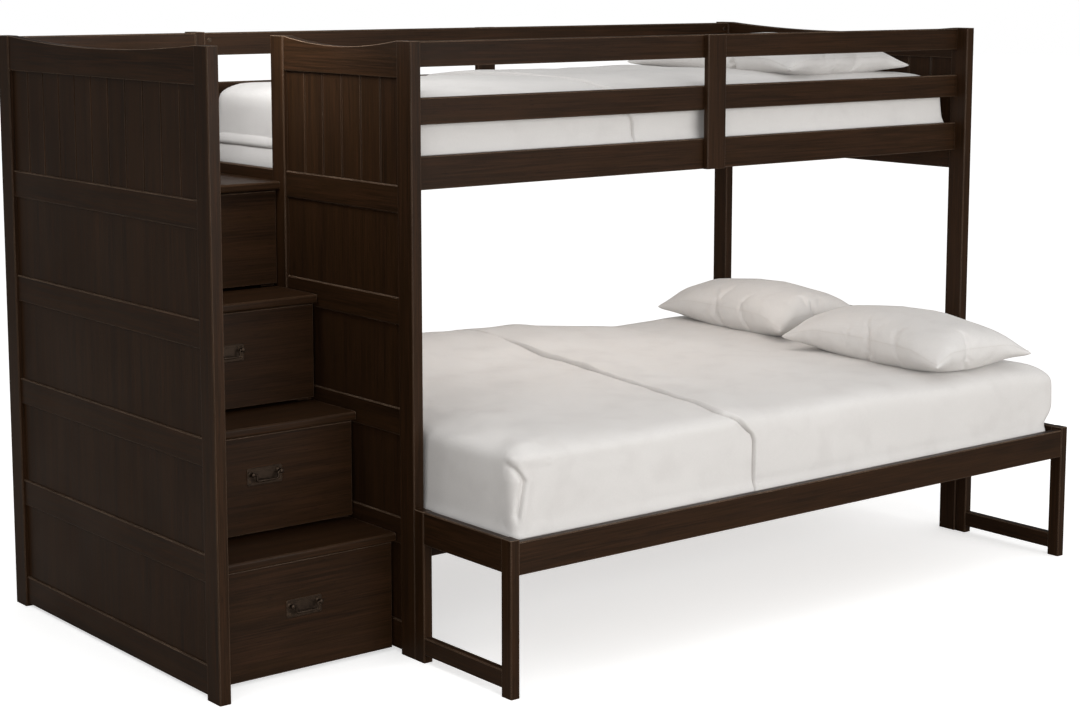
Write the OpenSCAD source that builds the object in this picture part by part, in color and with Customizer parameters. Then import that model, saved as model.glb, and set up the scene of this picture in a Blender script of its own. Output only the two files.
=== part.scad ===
// Staircase bunk bed: a twin bunk over a full bed, with a drawer staircase at its left end.
// X runs along the bed with the staircase at -X, the open front faces -Y, and the floor is z = 0.
// The sub-parts are drawn from the foot of the outer front post; place() moves that to the shared frame.

/* [Bunk] */
// Length of the bunk over its two end panels
bunk_l = 2032; // [1990:1:2080]
// Depth of the bunk over its posts
bunk_d = 1078; // [1060:1:1100]
// Height of the posts
bunk_h = 1516; // [1500:1:1560]
// Width of the staircase bay beside the bunk
stair_w = 550; // [520:1:600]
// How far the full bed stands out in front of the bunk
ext_d = 385; // [370:1:400]

/* [Posts and boards] */
// Thickness of a post along the bed
post_t = 30; // [28:1:36]
// Width of a post across the bed
post_w = 60; // [58:1:70]
// Chamfer along the edges of posts, legs and rails
edge = 2; // [1:0.5:3]
// Thickness of the guard rails and side rails
rail_t = 20; // [18:1:22]
// How far the guard rails sit behind the front of the posts
rail_set = 38; // [34:1:40]
// Thickness of the extension's legs along the bed
leg_t = 26; // [24:1:30]
// Width of the extension's legs across the bed
leg_w = 38; // [34:1:44]

/* [End panels] */
// Height of an end panel's cross rails
cross_h = 68; // [60:1:76]
// Top of the highest cross rail
cross_top = 1168; // [1160:1:1180]
// Distance from one cross rail to the next
cross_pitch = 274; // [270:1:278]
// Underside of the curved top rails
top_rail_z = 1428; // [1420:1:1440]
// Sag of the curved top rails
top_sag = 20; // [10:1:26]
// Width of one beadboard plank
plank_w = 88; // [80:1:100]

/* [Staircase] */
// Rise from one tread to the next
rise = 278; // [270:1:280]
// Going from one tread to the next
going = 172; // [165:1:176]
// Distance from the post fronts to the lowest drawer front
first_riser = 95; // [90:1:100]
// Thickness of a tread
tread_t = 22; // [18:1:24]
// How far a tread's nose stands in front of the drawer front below it
nose = 16; // [12:1:20]
// Thickness of the drawer fronts
front_t = 20; // [18:1:22]
// Depth of the drawer boxes below the top one
box_d = 550; // [500:10:550]

/* [Bedding] */
// Thickness of the upper mattress with its bedding
upper_mattress_h = 172; // [150:1:190]
// Thickness of the lower mattress with its bedding
lower_mattress_h = 240; // [200:1:245]

/* [Hidden] */

total_l = stair_w + bunk_l;
total_w = bunk_d + ext_d;
right_x = total_l - post_t;             // inner face of the right-hand posts
back_y = bunk_d - post_w;               // front of the back posts
mid_y = bunk_d / 2;
entry_y = 571;                          // front of the post beside the entry from the stairs
entry_end = entry_y + post_w;

panel_rail_set = 6;                     // cross rails behind the posts' outer faces
cross_t = post_t - 2 * panel_rail_set;
panel_t = 8;
panel_set = 11;                         // panels behind the posts' outer faces
toe = 8;                                // gap under the lowest cross rails and boards
bottom_rail_h = 74;
groove_w = 7;
groove_d = 3;
rail_levels = [for (i = [3:-1:0]) cross_top - cross_h - i * cross_pitch];

guard_x = stair_w + post_t;             // left ends of the rails along the bunk
guard_l = right_x - guard_x;
back_rail_y = bunk_d - rail_set - rail_t;
guard_top = [1452, 62];                 // each rail's underside and height
guard_middle = [1313, 65];
side_rail = [1155, 82];
centre_board_w = 66;
centre_board_t = 18;

cleat = 25;
slat_t = 18;
slat_w = 90;
slat_gap = 60;
upper_slat_z = side_rail[0] + 4 + cleat;
upper_bed_z = upper_slat_z + slat_t;

ext_rail = [294, 79];                   // underside and height of the extension's side rail
ext_rail_t = 22;
ext_rail_set = 2;
ext_leg_h = 380;
ext_end_rail = [298, 82];
stretcher = [20, 44];
lower_slat_z = ext_rail[0] + 2 + cleat;
lower_bed_z = lower_slat_z + slat_t;
ext_inner_y = -ext_d + ext_rail_set + ext_rail_t;

lower_head = [566, 82, 15];              // underside, height and sag of the lower bed's end rail

step_x = post_t - panel_rail_set;       // the stair bay between its two end panels
step_l = stair_w - step_x;
stair_back_y = back_y - 6;
side_board_t = 12;
tread_top = [for (i = [1:4]) 27 + i * rise];
riser_y = [for (i = [0:3]) first_riser + i * going];
bay_floor = [toe, tread_top[0], tread_top[1], tread_top[2]];
front_gap = [1, 8, 8, 8];               // gap under each drawer front
front_x = post_t + 2;
front_l = stair_w - 2 - front_x;
runner_w = 24;
runner_h = 16;
box_side_gap = 4;
box_board = 12;
box_x = step_x + side_board_t + box_side_gap;
box_l = step_l - 2 * (side_board_t + box_side_gap);
box_depth = [box_d, box_d, box_d - 10, 372];

plate = [100, 2.5, 44];
bail_half = 34;                         // from the middle of a pull to its pivots
bail_drop = 17;
bail_r = 2.8;
bail_out = 15;                          // from the drawer front to the bail's pivot line
pivot_up = 8;                           // pivots above the plate's middle
pull_up = 18;                           // plate's middle above the middle of the drawer front
boss_r = 5;
boss_out = 6;                           // bosses outside the bail's pivots
pin_clear = 0.1;

mattress_gap = 6;
duvet_l = 790;
duvet_t = 22;
front_pillow_size = [390, 630, 125];
front_pillow_middle = [2252, -36];
front_pillow_turn = -2.5;
back_pillow_size = [370, 640, 125];
back_pillow_middle = [2327, 636];
back_pillow_turn = -5;
upper_pillow_size = [500, 720, 128];
upper_pillow_middle = [2178, 463];
pillow_clear = 1;                       // between a pillow and the bedding under it
lower_pillow_z = lower_bed_z + lower_mattress_h + pillow_clear;
upper_pillow_z = upper_bed_z + upper_mattress_h + pillow_clear;

nut_r = 7;
nut_proud = 1.5;
nut_inset = 15;                         // from the end of a rail to its barrel nuts
nut_down = 20;                          // from the top of a rail to its barrel nuts

leg_xs = [stair_w, total_l - leg_t];    // left sides of the extension's legs

wood = [0.21, 0.16, 0.13];
dark_wood = [0.16, 0.115, 0.09];
pale_wood = [0.76, 0.62, 0.44];
linen = [0.92, 0.91, 0.89];
bronze = [0.17, 0.15, 0.13];

module place() {
    translate([-total_l / 2, ext_d - total_w / 2, 0]) children();
}

// A box given by its low corner and its size.
module block(at, size) {
    translate(at) cube(size);
}

// Chamfered rectangle, w by h, with its low corner at the origin.
module chamfered(w, h, c) {
    polygon([[c, 0], [w - c, 0], [w, c], [w, h - c], [w - c, h], [c, h], [0, h - c], [0, c]]);
}

// A board whose four long edges are chamfered, lying along x, y or z.
module board_x(at, size, c = edge) {
    translate(at) rotate([90, 0, 90]) linear_extrude(size[0]) chamfered(size[1], size[2], c);
}
module board_y(at, size, c = edge) {
    translate(at) translate([0, size[1], 0]) rotate([90, 0, 0])
        linear_extrude(size[1]) chamfered(size[0], size[2], c);
}
module board_z(at, size, c = edge) {
    translate(at) linear_extrude(size[2]) chamfered(size[0], size[1], c);
}

module post(x, y) {
    color(dark_wood) board_z([x, y, 0], [post_t, post_w, bunk_h]);
}

// A rail between two posts whose top edge dips by sag in the middle.
module curved_rail(x, y0, y1, z0, z1, sag) {
    steps = 24;
    rail_face = 3;
    arc = [for (i = [0:steps]) let (t = i / steps)
        [y0 + t * (y1 - y0), z1 - sag * (1 - pow(2 * t - 1, 2))]];
    color(dark_wood) translate([x + rail_face, 0, 0]) rotate([90, 0, 90])
        linear_extrude(post_t - 2 * rail_face) polygon(concat([[y1, z0], [y0, z0]], arc));
}

// Flat cross rails from y0 to y1, at the four upper levels and along the floor.
module cross_rails(x, y0, y1) {
    color(dark_wood) {
        for (z = rail_levels)
            board_y([x + panel_rail_set, y0, z], [cross_t, y1 - y0, cross_h]);
        board_y([x + panel_rail_set, y0, toe], [cross_t, y1 - y0, bottom_rail_h]);
    }
}

// The thin panels between the cross rails.
module flat_panels(x, y0, y1) {
    floors = concat([toe + bottom_rail_h], [for (i = [0:2]) rail_levels[i] + cross_h]);
    color(dark_wood) for (i = [0:3])
        block([x + panel_set, y0, floors[i]], [panel_t, y1 - y0, rail_levels[i] - floors[i]]);
}

// Grooved boarding: V grooves on both faces mark its planks.
module beadboard(x, y0, y1, z0, z1) {
    count = round((y1 - y0) / plank_w);
    pitch = (y1 - y0) / count;
    grooves = [for (i = [1:count - 1]) y0 + i * pitch];
    left = [for (g = grooves, k = [-1, 0, 1]) [k == 0 ? groove_d : 0, g + k * groove_w / 2]];
    right = [for (i = [len(grooves) - 1:-1:0], k = [1, 0, -1])
        [panel_t - (k == 0 ? groove_d : 0), grooves[i] + k * groove_w / 2]];
    color(dark_wood) translate([x + panel_set, 0, z0]) linear_extrude(z1 - z0)
        polygon(concat([[0, y0]], left, [[0, y1], [panel_t, y1]], right, [[panel_t, y0]]));
}

// Outer end of the staircase
module stair_end_front_post() { post(0, 0); }
module stair_end_back_post() { post(0, back_y); }
module stair_end_top_rail() { curved_rail(0, post_w, back_y, top_rail_z, bunk_h, top_sag); }
module stair_end_cross_rails() { cross_rails(0, post_w, back_y); }
module stair_end_panels() {
    flat_panels(0, post_w, back_y);
    beadboard(0, post_w, back_y, cross_top, top_rail_z);
}

// Panel between the staircase and the bunk, open above the landing
module bunk_left_front_post() { post(stair_w, 0); }
module bunk_left_entry_post() { post(stair_w, entry_y); }
module bunk_left_back_post() { post(stair_w, back_y); }
module bunk_left_top_rail() { curved_rail(stair_w, post_w, entry_y, top_rail_z, bunk_h, top_sag); }
module bunk_left_cross_rails() {
    cross_rails(stair_w, post_w, entry_y);
    cross_rails(stair_w, entry_end, back_y);
}
module bunk_left_panels() {
    flat_panels(stair_w, post_w, entry_y);
    flat_panels(stair_w, entry_end, back_y);
    beadboard(stair_w, post_w, entry_y, cross_top, top_rail_z);
}

// Right-hand end of the bunk
module bunk_right_front_post() { post(right_x, 0); }
module bunk_right_back_post() { post(right_x, back_y); }
module bunk_right_top_rail() { curved_rail(right_x, post_w, back_y, top_rail_z, bunk_h, top_sag); }
module bunk_right_cross_rails() {
    color(dark_wood) for (z = [cross_top - cross_h, ext_rail[0]])
        board_y([right_x + panel_rail_set, post_w, z], [cross_t, back_y - post_w, cross_h]);
    curved_rail(right_x, post_w, back_y, lower_head[0], lower_head[0] + lower_head[1], lower_head[2]);
}
module bunk_right_panels() {
    beadboard(right_x, post_w, back_y, cross_top, top_rail_z);
    beadboard(right_x, post_w, back_y, ext_rail[0] + cross_h, lower_head[0]);
}

// Rails along the upper bunk
module bunk_rail(y, level) {
    color(wood) board_x([guard_x, y, level[0]], [guard_l, rail_t, level[1]]);
}
module stair_rail(level) {
    color(wood) board_x([post_t, back_rail_y, level[0]], [stair_w - post_t, rail_t, level[1]]);
}
module guard_front_top_rail() { bunk_rail(rail_set, guard_top); }
module guard_front_middle_rail() { bunk_rail(rail_set, guard_middle); }
module upper_front_side_rail() { bunk_rail(rail_set, side_rail); }
module guard_back_top_rails() { bunk_rail(back_rail_y, guard_top); stair_rail(guard_top); }
module guard_back_middle_rails() { bunk_rail(back_rail_y, guard_middle); stair_rail(guard_middle); }
module upper_back_side_rails() { bunk_rail(back_rail_y, side_rail); stair_rail(side_rail); }
module guard_centre_boards() {
    x = guard_x + (guard_l - centre_board_w) / 2;
    h = guard_top[0] + guard_top[1] - side_rail[0];
    color(wood) for (y = [rail_set - centre_board_t, back_rail_y + rail_t])
        board_z([x, y, side_rail[0]], [centre_board_w, centre_board_t, h]);
}

// Slats, the cleats under them and the lower bed's hidden rails
module slat_row(y0, y1, z) {
    pitch = slat_w + slat_gap;
    count = floor((guard_l - slat_gap) / pitch);
    margin = (guard_l - count * pitch + slat_gap) / 2;
    color(pale_wood) for (i = [0:count - 1])
        block([guard_x + margin + i * pitch, y0, z], [slat_w, y1 - y0, slat_t]);
}
module upper_slats() { slat_row(rail_set + rail_t + 2, back_rail_y - 2, upper_slat_z); }
module lower_slats() { slat_row(ext_inner_y + 2, back_rail_y - 2, lower_slat_z); }
module slat_cleats() {
    rails = [
        [rail_set + rail_t, upper_slat_z], [back_rail_y - cleat, upper_slat_z],
        [ext_inner_y, lower_slat_z], [back_rail_y - cleat, lower_slat_z]
    ];
    color(pale_wood) for (r = rails)
        block([guard_x + 20, r[0], r[1] - cleat], [guard_l - 40, cleat, cleat]);
}
module lower_support_rails() {
    middle_h = 80;
    color(dark_wood) {
        board_x([guard_x, back_rail_y, ext_rail[0]], [guard_l, rail_t, ext_rail[1]]);
        board_x([guard_x, rail_set, lower_slat_z - middle_h], [guard_l, rail_t, middle_h]);
    }
}

// Staircase
module tread(i) {
    color(wood) translate([step_x, riser_y[i] - nose, tread_top[i] - tread_t]) rotate([90, 0, 90])
        linear_extrude(step_l) nosed(stair_back_y - riser_y[i] + nose, tread_t);
}
// Tread outline, d deep and h thick, with a rounded front edge.
module nosed(d, h) {
    r = 6;
    steps = 6;
    lower = [for (i = [0:steps]) let (a = 270 - 90 * i / steps) [r + r * cos(a), r + r * sin(a)]];
    upper = [for (i = [0:steps]) let (a = 180 - 90 * i / steps) [r + r * cos(a), h - r + r * sin(a)]];
    polygon(concat(lower, upper, [[d, h], [d, 0]]));
}
module stair_tread_1() { tread(0); }
module stair_tread_2() { tread(1); }
module stair_tread_3() { tread(2); }
module stair_tread_4() { tread(3); }
module stair_side_boards() {
    color(dark_wood) for (i = [0:3], x = [step_x, stair_w - side_board_t]) {
        y = riser_y[i] + front_t + 1;
        block([x, y, bay_floor[i]], [side_board_t, stair_back_y - y, tread_top[i] - tread_t - bay_floor[i]]);
    }
}
module stair_back_panel() {
    color(dark_wood) block([step_x, stair_back_y, toe], [step_l, back_y - stair_back_y, tread_top[3] - toe]);
}
module drawer_runners() {
    xs = [step_x + side_board_t, stair_w - side_board_t - runner_w];
    color(pale_wood) for (i = [0:3], x = xs)
        block([x, riser_y[i] + front_t + 5, bay_floor[i]], [runner_w, box_depth[i] - 10, runner_h]);
}

// Drawers
module drawer_front(i) {
    z = bay_floor[i] + front_gap[i];
    h = tread_top[i] - tread_t - 3 - z;
    c = edge;
    face = [[c, 0], [front_l - c, 0], [front_l, c], [front_l, front_t], [0, front_t], [0, c]];
    side = [[0, c], [c, 0], [front_t, 0], [front_t, h], [c, h], [0, h - c]];
    color(wood) translate([front_x, riser_y[i], z]) intersection() {
        linear_extrude(h) polygon(face);
        rotate([90, 0, 90]) linear_extrude(front_l) polygon(side);
    }
}
module drawer_box(i) {
    z = bay_floor[i] + runner_h + 0.5;
    h = tread_top[i] - tread_t - 18 - z;
    y = riser_y[i] + front_t;
    floor_up = 8;
    floor_t = 6;
    color(pale_wood) difference() {
        block([box_x, y, z], [box_l, box_depth[i], h]);
        block([box_x + box_board, y + box_board, z + floor_up + floor_t],
            [box_l - 2 * box_board, box_depth[i] - 2 * box_board, h]);
        block([box_x + box_board, y + box_board, z - 1],
            [box_l - 2 * box_board, box_depth[i] - 2 * box_board, floor_up + 1]);
    }
}
function pull_z(i) = (bay_floor[i] + front_gap[i] + tread_top[i] - tread_t) / 2 + pull_up;
module pull_plate(i) {
    x = front_x + front_l / 2;
    y = riser_y[i];
    color(bronze) {
        board_x([x - plate[0] / 2, y - plate[1], pull_z(i) - plate[2] / 2], plate, 1);
        for (s = [-1, 1]) difference() {
            translate([x + s * (bail_half + boss_out), y - plate[1] + 0.5, pull_z(i) + pivot_up])
                rotate([90, 0, 0]) cylinder(h = bail_out - plate[1] + boss_r, r = boss_r, $fn = 32);
            translate([x + s * (bail_half - 2), y - bail_out, pull_z(i) + pivot_up])
                rotate([0, s * 90, 0]) cylinder(h = boss_out + 3, r = bail_r + pin_clear, $fn = 32);
        }
    }
}
module pull_bail(i) {
    x = front_x + front_l / 2;
    arm = bail_half - 4;
    color(bronze) translate([x, riser_y[i] - bail_out, pull_z(i) + pivot_up]) {
        for (s = [-1, 1]) {
            translate([s * (arm - bail_r), 0, 0])
                rotate([0, s * 90, 0]) cylinder(h = bail_half + 5 - arm + bail_r, r = bail_r, $fn = 32);
            translate([s * arm, 0, -bail_drop]) cylinder(h = bail_drop, r = bail_r, $fn = 32);
            translate([s * arm, 0, -bail_drop]) sphere(r = bail_r, $fn = 32);
            translate([s * arm, 0, 0]) sphere(r = bail_r, $fn = 32);
        }
        translate([-arm, 0, -bail_drop]) rotate([0, 90, 0]) cylinder(h = 2 * arm, r = bail_r, $fn = 32);
    }
}
module drawer_1_front() { drawer_front(0); }
module drawer_2_front() { drawer_front(1); }
module drawer_3_front() { drawer_front(2); }
module drawer_4_front() { drawer_front(3); }
module drawer_1_box() { drawer_box(0); }
module drawer_2_box() { drawer_box(1); }
module drawer_3_box() { drawer_box(2); }
module drawer_4_box() { drawer_box(3); }
module drawer_1_pull_plate() { pull_plate(0); }
module drawer_2_pull_plate() { pull_plate(1); }
module drawer_3_pull_plate() { pull_plate(2); }
module drawer_4_pull_plate() { pull_plate(3); }
module drawer_1_pull_bail() { pull_bail(0); }
module drawer_2_pull_bail() { pull_bail(1); }
module drawer_3_pull_bail() { pull_bail(2); }
module drawer_4_pull_bail() { pull_bail(3); }

// Extension in front of the bunk
module extension_side_rail() {
    color(wood) board_x([stair_w + leg_t, -ext_d + ext_rail_set, ext_rail[0]],
        [bunk_l - 2 * leg_t, ext_rail_t, ext_rail[1]]);
}
module extension_legs() {
    color(dark_wood) for (x = leg_xs, y = [-ext_d, -leg_w])
        board_z([x, y, 0], [leg_t, leg_w, ext_leg_h]);
}
module extension_cross_rails() {
    span = ext_d - 2 * leg_w;
    color(dark_wood) for (x = leg_xs, level = [ext_end_rail, stretcher])
        board_y([x + 2, -ext_d + leg_w, level[0]], [leg_t - 4, span, level[1]]);
}

// Bedding
module upper_mattress() {
    y = rail_set + rail_t + mattress_gap;
    color(linen) board_x([guard_x + mattress_gap, y, upper_bed_z],
        [guard_l - 2 * mattress_gap, bunk_d - 2 * y, upper_mattress_h], 25);
}
module lower_mattress() {
    y = ext_inner_y + mattress_gap;
    color(linen) board_x([guard_x + mattress_gap, y, lower_bed_z],
        [guard_l - 2 * mattress_gap, back_rail_y - mattress_gap - y, lower_mattress_h], 30);
}
module lower_duvet() {
    y = ext_inner_y + mattress_gap + 30;
    color(linen) board_x([guard_x + mattress_gap, y, lower_bed_z + lower_mattress_h],
        [duvet_l, back_rail_y - mattress_gap - 30 - y, duvet_t], 4);
}
// A pillow lying flat, turned about its middle: thick in the middle, thin at its hems.
module pillow_solid(middle, z, size, turn) {
    hem = 12;
    hem_up = 0.4;
    crown = 0.62;
    color(linen) translate([middle[0], middle[1], z]) rotate(turn) hull() {
        translate([-size[0] / 2, -size[1] / 2, size[2] * hem_up]) cube([size[0], size[1], hem]);
        translate([-size[0] * crown / 2, -size[1] * crown / 2, 0])
            cube([size[0] * crown, size[1] * crown, size[2]]);
    }
}
module front_pillow() {
    pillow_solid(front_pillow_middle, lower_pillow_z, front_pillow_size, front_pillow_turn);
}
module back_pillow() {
    pillow_solid(back_pillow_middle, lower_pillow_z, back_pillow_size, back_pillow_turn);
}
module upper_pillow() {
    pillow_solid(upper_pillow_middle, upper_pillow_z, upper_pillow_size, 0);
}

// Barrel nuts on the inner faces of the rails, two where each tall rail meets a post
module barrel_nuts() {
    levels = [guard_top, guard_middle, side_rail];
    color(bronze) for (x = [guard_x + nut_inset, right_x - nut_inset], level = levels) {
        z = level[0] + level[1] - nut_down;
        for (y = [rail_set + rail_t + nut_proud, back_rail_y])
            translate([x, y, z]) rotate([90, 0, 0]) cylinder(h = nut_proud, r = nut_r, $fn = 32);
    }
}

place() stair_end_front_post();
place() stair_end_back_post();
place() stair_end_top_rail();
place() stair_end_cross_rails();
place() stair_end_panels();
place() bunk_left_front_post();
place() bunk_left_entry_post();
place() bunk_left_back_post();
place() bunk_left_top_rail();
place() bunk_left_cross_rails();
place() bunk_left_panels();
place() bunk_right_front_post();
place() bunk_right_back_post();
place() bunk_right_top_rail();
place() bunk_right_cross_rails();
place() bunk_right_panels();
place() guard_front_top_rail();
place() guard_front_middle_rail();
place() upper_front_side_rail();
place() guard_back_top_rails();
place() guard_back_middle_rails();
place() upper_back_side_rails();
place() guard_centre_boards();
place() upper_slats();
place() lower_slats();
place() slat_cleats();
place() lower_support_rails();
place() stair_tread_1();
place() stair_tread_2();
place() stair_tread_3();
place() stair_tread_4();
place() stair_side_boards();
place() stair_back_panel();
place() drawer_runners();
place() extension_side_rail();
place() extension_legs();
place() extension_cross_rails();
place() upper_mattress();
place() upper_pillow();
place() lower_mattress();
place() lower_duvet();
place() back_pillow();
place() front_pillow();
place() barrel_nuts();
place() drawer_1_front();
place() drawer_1_box();
place() drawer_1_pull_plate();
place() drawer_1_pull_bail();
place() drawer_2_front();
place() drawer_2_box();
place() drawer_2_pull_plate();
place() drawer_2_pull_bail();
place() drawer_3_front();
place() drawer_3_box();
place() drawer_3_pull_plate();
place() drawer_3_pull_bail();
place() drawer_4_front();
place() drawer_4_box();
place() drawer_4_pull_plate();
place() drawer_4_pull_bail();
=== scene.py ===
import math

import bmesh
import bpy
import numpy as np
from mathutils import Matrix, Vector, noise


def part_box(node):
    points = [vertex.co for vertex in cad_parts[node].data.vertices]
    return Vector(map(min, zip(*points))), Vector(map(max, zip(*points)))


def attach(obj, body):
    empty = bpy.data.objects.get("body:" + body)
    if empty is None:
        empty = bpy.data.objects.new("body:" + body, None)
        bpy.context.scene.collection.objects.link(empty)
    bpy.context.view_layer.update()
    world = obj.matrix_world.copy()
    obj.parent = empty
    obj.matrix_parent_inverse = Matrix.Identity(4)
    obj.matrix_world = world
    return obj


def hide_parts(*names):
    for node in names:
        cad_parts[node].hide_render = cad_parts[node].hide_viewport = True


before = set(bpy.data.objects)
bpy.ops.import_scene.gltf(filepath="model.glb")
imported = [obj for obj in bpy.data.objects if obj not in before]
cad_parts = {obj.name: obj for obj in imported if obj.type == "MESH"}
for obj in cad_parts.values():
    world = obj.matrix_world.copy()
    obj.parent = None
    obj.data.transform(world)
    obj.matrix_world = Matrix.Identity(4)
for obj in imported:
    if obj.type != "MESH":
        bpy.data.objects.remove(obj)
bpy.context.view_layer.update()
scene = bpy.context.scene
print("frame loaded:", len(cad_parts), "nodes")

# camera
view = {
    "place": (-3.6955, -4.5411, 1.6741),  # metres
    "heading": 38.59,                     # degrees from +Y towards +X
    "downward": 7.94,                     # degrees below level
    "sensor": 36,                         # mm
    "lens": 71.76,                        # mm
    "shift": -0.0796,
    "farthest": 200,                      # metres
}
cameraData = bpy.data.cameras.new("camera")
cameraData.sensor_width = view["sensor"]
cameraData.lens = view["lens"]
cameraData.shift_y = view["shift"]
cameraData.clip_end = view["farthest"]
camera = bpy.data.objects.new("camera", cameraData)
camera.location = view["place"]
camera.rotation_euler = (math.radians(90 - view["downward"]), 0, -math.radians(view["heading"]))
scene.collection.objects.link(camera)
scene.camera = camera
scene.view_settings.view_transform = "Standard"
print("camera placed")


def hexColor(text):
    parts = [int(text[i:i + 2], 16) / 255 for i in (1, 3, 5)]
    return (*[p / 12.92 if p <= 0.04045 else ((p + 0.055) / 1.055) ** 2.4 for p in parts], 1.0)


def addNode(tree, kind, inputs=None, **settings):
    node = tree.nodes.new(kind)
    for key, value in settings.items():
        setattr(node, key, value)
    for key, value in (inputs or {}).items():
        if isinstance(value, bpy.types.NodeSocket):
            tree.links.new(value, node.inputs[key])
        else:
            node.inputs[key].default_value = value
    return node


def calculated(tree, operation, *values, clamp=False):
    return addNode(tree, "ShaderNodeMath", dict(enumerate(values)), operation=operation,
                   use_clamp=clamp).outputs[0]


# colours come as hex text or from another node
def blended(tree, factor, first, second):
    first, second = [hexColor(c) if isinstance(c, str) else c for c in (first, second)]
    return addNode(tree, "ShaderNodeMix", {0: factor, 6: first, 7: second},
                   data_type="RGBA").outputs[2]


def ranged(tree, value, fromLow, fromHigh, toLow=0.0, toHigh=1.0):
    return addNode(tree, "ShaderNodeMapRange", {
        "Value": value, "From Min": fromLow, "From Max": fromHigh, "To Min": toLow,
        "To Max": toHigh}).outputs[0]


def clouds(tree, place, scale, detail, roughness=0.5, distortion=0.0):
    return addNode(tree, "ShaderNodeTexNoise", {
        "Vector": place, "Scale": scale, "Detail": detail, "Roughness": roughness,
        "Distortion": distortion}).outputs[0]


def newMaterial(name):
    material = bpy.data.materials.new(name)
    material.use_nodes = True
    tree = material.node_tree
    tree.nodes.clear()
    return material, tree, addNode(tree, "ShaderNodeTexCoord").outputs["Object"]


def closeMaterial(tree, looks):
    shader = addNode(tree, "ShaderNodeBsdfPrincipled", looks)
    addNode(tree, "ShaderNodeOutputMaterial", {"Surface": shader.outputs[0]})


# floor, sky and lights
studio = {
    "floorColor": "#f4f3f1",
    "floorBounce": "#a8a39d",   # what the object sees of the floor: a flagged, darker set
    "floorRadius": 40.0,
    "floorLift": 0.55,          # white added where the floor is seen, so it stays pale
    "skySeen": 1.0,
    "skyLight": 0.60,
    "skyGloss": 0.12,
    # name: place, aim, size in metres, watts
    "lights": {
        "frontWindow": ((0.4, -6.6, 1.9), (0.2, 0, 0.8), (6.4, 2.8), 215),
        "topBank": ((0.2, -1.2, 5.0), (0.2, 0.0, 0.5), (5.0, 3.0), 14),
        "leftTopBank": ((-3.6, -0.6, 4.6), (-0.6, 0.2, 1.0), (2.6, 3.0), 22),
        "leftFill": ((-4.9, -4.6, 1.5), (-0.6, 0.0, 0.7), (2.4, 1.8), 48),
        "stairFill": ((-1.0, -0.15, 2.0), (-0.85, 0.15, 0.9), (0.5, 0.8), 2.3),
        "entryFill": ((-1.04, 0.10, 1.70), (-0.70, 0.36, 1.27), (0.16, 0.26), 3.0),
        "underBunk": ((0.18, 0.13, 1.140), (0.18, 0.10, 0), (1.7, 0.6), 3.9),
    },
}


def makeFloor():
    material, tree, place = newMaterial("paintedFloor")  # matt emulsion with next to no gloss
    seen = addNode(tree, "ShaderNodeLightPath").outputs["Is Camera Ray"]
    mottle = clouds(tree, place, 1.4, 4)
    tone = blended(tree, mottle, studio["floorColor"], "#ffffff")
    tone = blended(tree, seen, studio["floorBounce"], tone)
    lift = calculated(tree, "MULTIPLY", seen, studio["floorLift"])
    closeMaterial(tree, {
        "Base Color": tone, "Roughness": 0.85, "Specular IOR Level": 0.1,
        "Emission Color": hexColor("#ffffff"), "Emission Strength": lift})
    bm = bmesh.new()
    bmesh.ops.create_circle(bm, cap_ends=True, segments=96, radius=studio["floorRadius"])
    mesh = bpy.data.meshes.new("floor")
    bm.to_mesh(mesh)
    bm.free()
    mesh.materials.append(material)
    floor = bpy.data.objects.new("floor", mesh)
    scene.collection.objects.link(floor)


def makeSky():
    world = bpy.data.worlds.new("studioSky")
    world.use_nodes = True
    tree = world.node_tree
    tree.nodes.clear()
    path = addNode(tree, "ShaderNodeLightPath").outputs
    level = ranged(tree, path["Is Glossy Ray"], 0.0, 1.0, studio["skyLight"], studio["skyGloss"])
    level = ranged(tree, path["Is Camera Ray"], 0.0, 1.0, level, studio["skySeen"])
    sky = addNode(tree, "ShaderNodeBackground", {"Color": hexColor("#ffffff"), "Strength": level})
    addNode(tree, "ShaderNodeOutputWorld", {"Surface": sky.outputs[0]})
    scene.world = world


def hangLight(name, place, aim, size, power):
    data = bpy.data.lights.new(name, "AREA")
    data.shape = "RECTANGLE"
    data.size, data.size_y = size
    data.energy = power
    lamp = bpy.data.objects.new(name, data)
    lamp.location = place
    lamp.rotation_euler = (Vector(aim) - Vector(place)).to_track_quat("-Z", "Y").to_euler()
    lamp.visible_camera = False
    scene.collection.objects.link(lamp)


makeFloor()
makeSky()
for name, light in studio["lights"].items():
    hangLight(name, *light)
print("studio lit")

# woods
# Espresso-stained hardwood, sprayed with satin lacquer: nearly black brown with a soft sheen,
# faint red-brown figure, and thin pale lines along the edges: some rubbed-through stain, mostly
# painted highlight.
espresso = {
    "deep": "#21150b", "stain": "#2d1d0f", "warm": "#402818", "pore": "#120b06",
    "edgeHighlightAndWearColour": "#a08873",
    "figure": (0.028, 0.75),   # width and length of the broad figure, metres
    "fibre": (0.0032, 0.16),   # real fibres are 0.3 mm wide; drawn ten times coarser to show
    "poreLine": (0.0016, 0.030),
    "edgeHighlightAndWearWidth": 0.0028, "edgeHighlightAndWearStrength": 1.35,
    "roughness": (0.33, 0.47), "specular": 0.12, "coat": 0.0,
}
# Planed pine, not finished: pale yellow with brown late-wood lines and a dull surface.
pine = {
    "deep": "#b98d58", "stain": "#d3ab76", "warm": "#c79a5f", "pore": "#a87947",
    "edgeHighlightAndWearColour": "#e2c493",
    "figure": (0.012, 0.9), "fibre": (0.002, 0.12), "poreLine": (0.0014, 0.02),
    "edgeHighlightAndWearWidth": 0.0015, "edgeHighlightAndWearStrength": 0.25,
    "roughness": (0.58, 0.76), "specular": 0.4, "coat": 0.0,
}
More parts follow.
